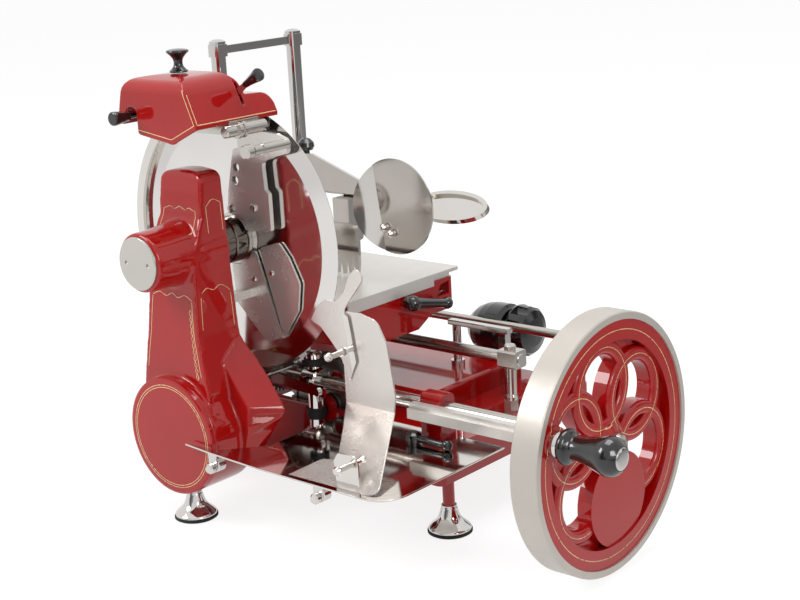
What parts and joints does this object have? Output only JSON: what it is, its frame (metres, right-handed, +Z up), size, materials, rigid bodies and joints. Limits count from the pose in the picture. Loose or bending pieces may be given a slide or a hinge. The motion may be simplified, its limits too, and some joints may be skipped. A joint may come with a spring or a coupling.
{
  "type": "hand crank meat slicer",
  "caption": "Hand-cranked meat slicer: round knife driven by a spoked flywheel through gears, with a reciprocating meat carriage, clamp, sharpener and slice tray.",
  "frame": {"origin": "centre of the resting disc of the foot under the column, on the surface the machine stands on", "axes": "+Z up; +X from the column along the flywheel shaft to the flywheel; +Y along the blade spindle from the column towards the meat table"},
  "size_m": [0.7061, 0.4617, 0.5185],
  "materials": {
    "red_enamel": "glossy bright red stoved enamel over cast iron",
    "machined_iron": "machined and clear-lacquered grey iron",
    "polished_steel": "mirror-polished stainless steel",
    "chrome_plate": "bright chromium plate",
    "ground_steel": "ground and brushed steel",
    "blade_steel": "polished chromium-plated knife steel",
    "brushed_aluminium": "milled and anodised aluminium",
    "gear_steel": "cut steel gear teeth, oiled",
    "black_bakelite": "polished black phenolic",
    "black_rubber": "moulded black rubber",
    "bronze": "sintered bronze",
    "stone": "bonded abrasive stone"
  },
  "bodies": {
    "root": {"base_casting": "red_enamel", "levelling_feet": "chrome_plate", "foot_pads": "black_rubber", "column_housing": "red_enamel", "gear_case_cover": "red_enamel", "spindle_cap": "ground_steel", "idler_pins": "ground_steel", "column_bushes": "bronze", "blade_cover_plates": "polished_steel", "blade_guard": "polished_steel", "shaft_post": "chrome_plate", "post_rings": "black_rubber", "shaft_bearing": "red_enamel", "shaft_rail": "brushed_aluminium", "front_slide_rod": "ground_steel", "rear_slide_rod": "ground_steel", "rod_post": "ground_steel", "guide_bar": "chrome_plate", "slice_tray": "polished_steel", "receiving_plate": "polished_steel", "dial_drum": "black_bakelite", "sharpener_bracket": "ground_steel"},
    "flywheel": {"flywheel_rim": "machined_iron", "flywheel": "red_enamel", "flywheel_shaft": "ground_steel", "flywheel_bevel_gear": "gear_steel", "crank_handle_bolt": "chrome_plate"},
    "handle_grip": {"crank_handle_grip": "black_bakelite", "grip_cap": "chrome_plate"},
    "cross_shaft": {"cross_shaft": "ground_steel", "lower_gear": "gear_steel", "cross_bevel_gear": "gear_steel"},
    "lower_idler": {"lower_idler_gear": "gear_steel"},
    "upper_idler": {"upper_idler_gear": "gear_steel"},
    "blade": {"blade": "blade_steel", "blade_hub": "ground_steel", "blade_spindle": "ground_steel"},
    "crank": {"crank_shaft": "gear_steel"},
    "carriage": {"carriage_body": "red_enamel"},
    "connecting_rod": {"connecting_rod": "ground_steel"},
    "table": {"meat_table": "brushed_aluminium", "clamp_posts": "chrome_plate", "clamp_crossbar": "chrome_plate"},
    "feed_screw": {"feed_screw": "ground_steel"},
    "table_lever": {"table_lever": "black_bakelite"},
    "clamp": {"clamp_carrier": "polished_steel", "meat_comb": "polished_steel", "hand_guard": "polished_steel", "loop_handle": "polished_steel"},
    "clamp_knob": {"clamp_knob": "black_bakelite"},
    "sharpener": {"sharpener_cover": "red_enamel", "cover_knob": "black_bakelite"},
    "grinder": {"push_knob": "black_bakelite", "grinding_stone": "stone"},
    "hone": {"hone_lever": "chrome_plate", "hone_knob": "black_bakelite"},
    "deflector": {"deflector_plate": "polished_steel"},
    "base_lever": {"base_lever": "black_bakelite"},
    "dial": {"dial_knob": "black_bakelite"}
  },
  "joints": [
    {"name": "flywheel_turn", "type": "hinge", "parent": "root", "child": "flywheel", "pos_m": [0.44, 0.129, 0.136], "axis": [1, 0, 0], "continuous": true},
    {"name": "grip_spin", "type": "hinge", "parent": "flywheel", "child": "handle_grip", "pos_m": [0.52, 0.03104, 0.16783], "axis": [1, 0, 0], "continuous": true},
    {"name": "cross_spin", "type": "hinge", "parent": "root", "child": "cross_shaft", "pos_m": [0, 0.129, 0.136], "axis": [0, 1, 0], "continuous": true},
    {"name": "lower_idler_spin", "type": "hinge", "parent": "root", "child": "lower_idler", "pos_m": [0, 0.024, 0.206], "axis": [0, 1, 0], "continuous": true},
    {"name": "upper_idler_spin", "type": "hinge", "parent": "root", "child": "upper_idler", "pos_m": [0, 0.024, 0.258], "axis": [0, 1, 0], "continuous": true},
    {"name": "blade_spin", "type": "hinge", "parent": "root", "child": "blade", "pos_m": [0, 0.08, 0.3], "axis": [0, 1, 0], "continuous": true},
    {"name": "crank_spin", "type": "hinge", "parent": "root", "child": "crank", "pos_m": [0.07144, 0.155, 0.1], "axis": [0, 1, 0], "continuous": true},
    {"name": "carriage_slide", "type": "slide", "parent": "root", "child": "carriage", "axis": [1, 0, 0], "range_m": [0, 0.142]},
    {"name": "connecting_rod_swing", "type": "hinge", "parent": "carriage", "child": "connecting_rod", "pos_m": [-0.10587, 0.1755, 0.171], "axis": [0, 1, 0], "range_deg": [0, 42.2]},
    {"name": "table_feed", "type": "slide", "parent": "carriage", "child": "table", "axis": [0, 1, 0], "range_m": [0, 0.06]},
    {"name": "feed_screw_turn", "type": "hinge", "parent": "carriage", "child": "feed_screw", "pos_m": [0.02, 0.21, 0.212], "axis": [0, 1, 0], "range_deg": [0, 5401]},
    {"name": "table_lever_turn", "type": "hinge", "parent": "carriage", "child": "table_lever", "pos_m": [0.15, 0.203, 0.219], "axis": [1, 0, 0], "range_deg": [-25, 65]},
    {"name": "clamp_height", "type": "slide", "parent": "table", "child": "clamp", "axis": [0, 0, 1], "range_m": [0, 0.14]},
    {"name": "clamp_knob_turn", "type": "hinge", "parent": "clamp", "child": "clamp_knob", "pos_m": [-0.006, 0.219, 0.38], "axis": [0, 0, 1], "range_deg": [0, 180]},
    {"name": "sharpener_lift", "type": "slide", "parent": "root", "child": "sharpener", "axis": [0, 0, 1], "range_m": [0, 0.03]},
    {"name": "grinder_push", "type": "slide", "parent": "sharpener", "child": "grinder", "axis": [0, 1, 0], "range_m": [0, 0.004], "stiffness_N_per_m": 200},
    {"name": "hone_swing", "type": "hinge", "parent": "sharpener", "child": "hone", "pos_m": [0.028, 0.067, 0.455], "axis": [0, 1, 0], "range_deg": [-12, 12]},
    {"name": "deflector_swing", "type": "hinge", "parent": "root", "child": "deflector", "pos_m": [0.165, 0.078, 0.196], "axis": [0, 1, 0], "range_deg": [0, 30]},
    {"name": "base_lever_turn", "type": "hinge", "parent": "root", "child": "base_lever", "pos_m": [0.238, 0.101, 0.106], "axis": [0, 0, -1], "range_deg": [0, 90]},
    {"name": "thickness_dial", "type": "hinge", "parent": "root", "child": "dial", "pos_m": [0.168, 0.38, 0.147], "axis": [1, 0, 0], "range_deg": [0, 300]}
  ],
  "couplings": [
    {"joint": "cross_spin", "follows": "flywheel_turn", "ratio": 1},
    {"joint": "lower_idler_spin", "follows": "flywheel_turn", "ratio": -1.6923},
    {"joint": "upper_idler_spin", "follows": "flywheel_turn", "ratio": 1.6923},
    {"joint": "blade_spin", "follows": "flywheel_turn", "ratio": -2.75},
    {"joint": "crank_spin", "follows": "flywheel_turn", "ratio": -0.33333},
    {"joint": "connecting_rod_swing", "follows": "carriage_slide", "rad_per_m": 5.161},
    {"joint": "feed_screw_turn", "follows": "table_feed", "rad_per_m": 1570.8}
  ]
}
